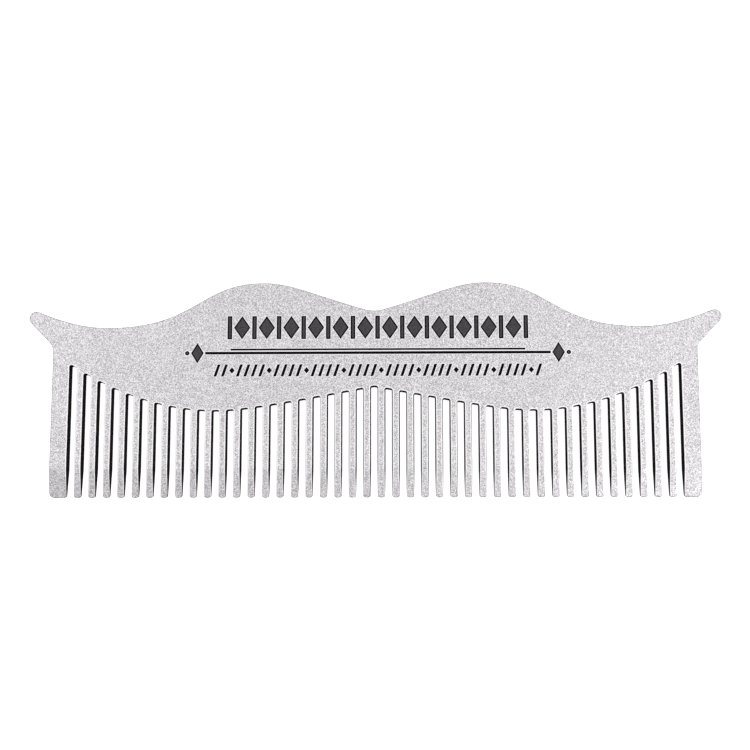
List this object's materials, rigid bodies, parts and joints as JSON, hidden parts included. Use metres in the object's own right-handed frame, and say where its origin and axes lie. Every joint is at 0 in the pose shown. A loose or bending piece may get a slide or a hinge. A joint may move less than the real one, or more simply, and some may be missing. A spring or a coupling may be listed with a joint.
{
  "type": "beard comb",
  "caption": "Flat steel beard comb with a moustache-shaped back, upswept horn tips, fine teeth between wide end guards, ground tooth tips and paint-filled ornament.",
  "frame": {"origin": "middle of the lower face of the comb's bounding box; the comb lies flat on z = 0", "axes": "+X along the comb from the left horn to the right horn as the decorated face is read, +Y from the tooth tips to the moustache-shaped back, +Z out of the decorated face"},
  "size_m": [0.11, 0.0342, 0.002],
  "materials": {
    "blasted_steel": "bead-blasted and tumbled stainless steel, pale, even and non-directional, with softened edges",
    "mark_paint": "matt black paint cured in shallow etched recesses"
  },
  "bodies": {
    "root": {"comb_plate": "blasted_steel", "frieze_paint": "mark_paint", "upper_rule_paint": "mark_paint", "lower_rule_paint": "mark_paint", "left_finial_paint": "mark_paint", "right_finial_paint": "mark_paint", "dash_row_paint": "mark_paint"}
  },
  "joints": []
}
